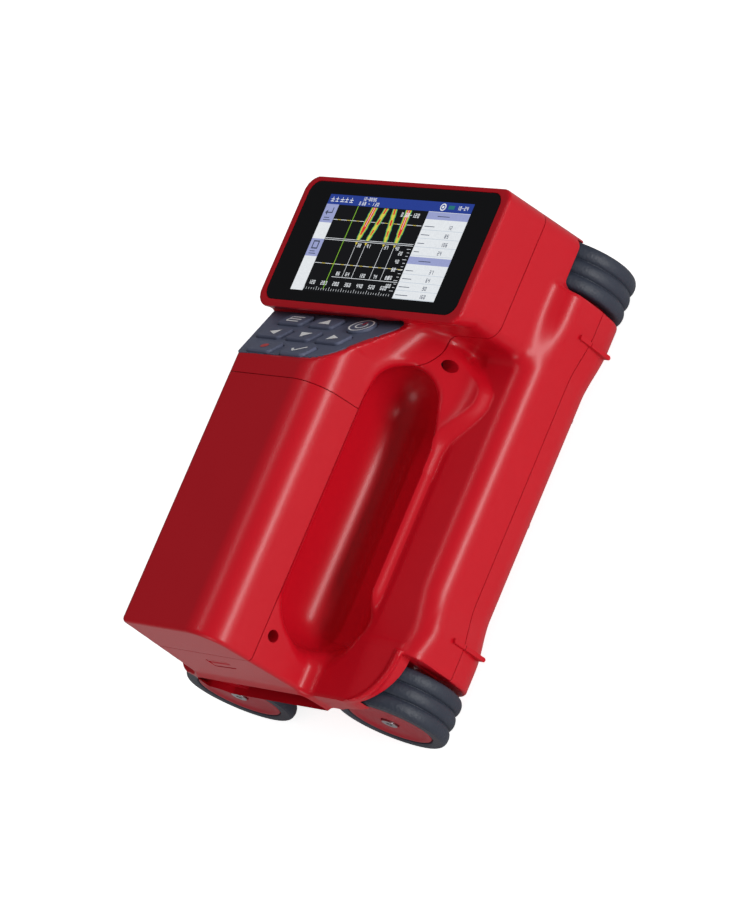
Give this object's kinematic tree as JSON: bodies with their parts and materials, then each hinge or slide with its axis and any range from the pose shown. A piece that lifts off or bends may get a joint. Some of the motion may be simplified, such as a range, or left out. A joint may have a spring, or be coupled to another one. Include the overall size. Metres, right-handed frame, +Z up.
{
  "type": "rebar scanner",
  "caption": "Hand-held scanner that rolls over concrete on ribbed wheels, with a grip handle, sloping keypad and flat colour screen.",
  "frame": {"origin": "centre of the footprint, on the plane that the four wheels stand on", "axes": "+X is the rolling direction, +Y runs along the handle towards the display, +Z is up from the scanned surface"},
  "size_m": [0.159, 0.243, 0.121],
  "materials": {
    "red_shell": "glossy injection-moulded ABS, signal red",
    "red_hub": "glossy moulded plastic, slightly darker red",
    "tyre_rubber": "blue-black moulded rubber with three rounded ribs",
    "keypad_rubber": "slate-grey silicone, satin",
    "screen_glass": "black-bordered cover glass, polished",
    "screen": null,
    "steel": "turned and plated steel",
    "dark_steel": "blackened steel",
    "brass_parts": "sintered bronze and brass",
    "copper_wire": "enamelled copper windings",
    "board_green": "printed circuit board with solder mask",
    "chip_black": "black moulded plastic",
    "seal_rubber": "black rubber",
    "cell_wrap": "blue shrink wrap"
  },
  "bodies": {
    "housing": {"base_shell": "red_shell", "main_shell": "red_shell", "head_shell": "red_shell", "battery_tray": "chip_black", "battery_pack": "cell_wrap", "battery_contacts": "brass_parts", "display_glass": "screen_glass", "display_gasket": "seal_rubber", "lcd_panel": "screen", "display_board": "board_green", "buzzer": "chip_black", "keypad_mat": "keypad_rubber", "keypad_board": "board_green", "key_domes": "steel", "main_board": "board_green", "main_board_parts": "chip_black", "coil_board": "board_green", "sensor_coils": "copper_wire", "encoder_sensor": "chip_black", "axle_bushes": "brass_parts", "base_screws": "steel", "side_screws": "dark_steel", "usb_socket": "steel", "port_board": "board_green", "parting_gasket": "seal_rubber"},
    "left_wheel_set": {"left_axle": "steel", "near_left_hub": "red_hub", "far_left_hub": "red_hub", "near_left_tyre": "tyre_rubber", "far_left_tyre": "tyre_rubber", "left_hub_screws": "steel"},
    "right_wheel_set": {"right_axle": "steel", "near_right_hub": "red_hub", "far_right_hub": "red_hub", "near_right_tyre": "tyre_rubber", "far_right_tyre": "tyre_rubber", "right_hub_screws": "steel", "encoder_disc": "chip_black"},
    "handle_cover": {"handle_cover": "red_shell"},
    "door_latch": {"door_latch": "red_shell"},
    "port_flap": {"port_flap": "seal_rubber"},
    "menu_key": {"menu_key": "keypad_rubber"},
    "up_key": {"up_key": "keypad_rubber"},
    "power_key": {"power_key": "keypad_rubber"},
    "left_key": {"left_key": "keypad_rubber"},
    "down_key": {"down_key": "keypad_rubber"},
    "right_key": {"right_key": "keypad_rubber"},
    "record_key": {"record_key": "keypad_rubber"},
    "enter_key": {"enter_key": "keypad_rubber"}
  },
  "joints": [
    {"name": "left_wheels_roll", "type": "hinge", "parent": "housing", "child": "left_wheel_set", "pos_m": [-0.0514, 0, 0.0275], "axis": [0, 1, 0], "continuous": true},
    {"name": "right_wheels_roll", "type": "hinge", "parent": "housing", "child": "right_wheel_set", "pos_m": [0.0514, 0, 0.0275], "axis": [0, 1, 0], "continuous": true},
    {"name": "handle_cover_slide", "type": "slide", "parent": "housing", "child": "handle_cover", "axis": [0, -1, 0], "range_m": [0, 0.03]},
    {"name": "door_latch_press", "type": "slide", "parent": "housing", "child": "door_latch", "axis": [0, 1, 0], "range_m": [0, 0.0012], "stiffness_N_per_m": 600},
    {"name": "port_flap_open", "type": "hinge", "parent": "housing", "child": "port_flap", "pos_m": [0, 0.11874, 0.0848], "axis": [1, 0, 0], "range_deg": [0, 95], "stiffness_Nm_per_rad": 0.01},
    {"name": "menu_press", "type": "slide", "parent": "housing", "child": "menu_key", "axis": [0, -0.6691, -0.7431], "range_m": [0, 0.0008], "stiffness_N_per_m": 800},
    {"name": "up_press", "type": "slide", "parent": "housing", "child": "up_key", "axis": [0, -0.6691, -0.7431], "range_m": [0, 0.0008], "stiffness_N_per_m": 800},
    {"name": "power_press", "type": "slide", "parent": "housing", "child": "power_key", "axis": [0, -0.6691, -0.7431], "range_m": [0, 0.0008], "stiffness_N_per_m": 800},
    {"name": "left_press", "type": "slide", "parent": "housing", "child": "left_key", "axis": [0, -0.6691, -0.7431], "range_m": [0, 0.0008], "stiffness_N_per_m": 800},
    {"name": "down_press", "type": "slide", "parent": "housing", "child": "down_key", "axis": [0, -0.6691, -0.7431], "range_m": [0, 0.0008], "stiffness_N_per_m": 800},
    {"name": "right_press", "type": "slide", "parent": "housing", "child": "right_key", "axis": [0, -0.6691, -0.7431], "range_m": [0, 0.0008], "stiffness_N_per_m": 800},
    {"name": "record_press", "type": "slide", "parent": "housing", "child": "record_key", "axis": [0, -0.6691, -0.7431], "range_m": [0, 0.0008], "stiffness_N_per_m": 800},
    {"name": "enter_press", "type": "slide", "parent": "housing", "child": "enter_key", "axis": [0, -0.6691, -0.7431], "range_m": [0, 0.0008], "stiffness_N_per_m": 800}
  ]
}
